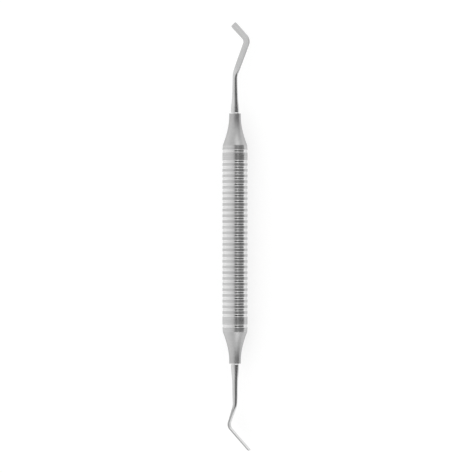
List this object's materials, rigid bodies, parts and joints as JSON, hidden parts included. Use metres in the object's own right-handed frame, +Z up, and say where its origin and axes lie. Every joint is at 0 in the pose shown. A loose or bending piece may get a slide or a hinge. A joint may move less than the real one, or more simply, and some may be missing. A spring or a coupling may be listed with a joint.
{
  "type": "dental spatula",
  "caption": "Double-ended dental filling spatula: round ringed steel handle with a side-bent blade at one end and a hoe-bent blade at the other.",
  "frame": {"origin": "under the middle of the handle, on the flat of the middle band that the instrument lies on", "axes": "+Y along the handle towards the side-bent tip, +X to the side that the side-bent tip first leans to, +Z up; both tips are bent in the horizontal plane through the handle's axis"},
  "size_m": [0.0112, 0.1696, 0.01],
  "materials": {
    "satin_steel": "satin, with fine turning lines round the bands and polished ring grooves",
    "polished_steel": "fine polish, with faint grinding lines across the blades"
  },
  "bodies": {
    "root": {"handle": "satin_steel", "side_bent_tip": "polished_steel", "hoe_bent_tip": "polished_steel"}
  },
  "joints": []
}
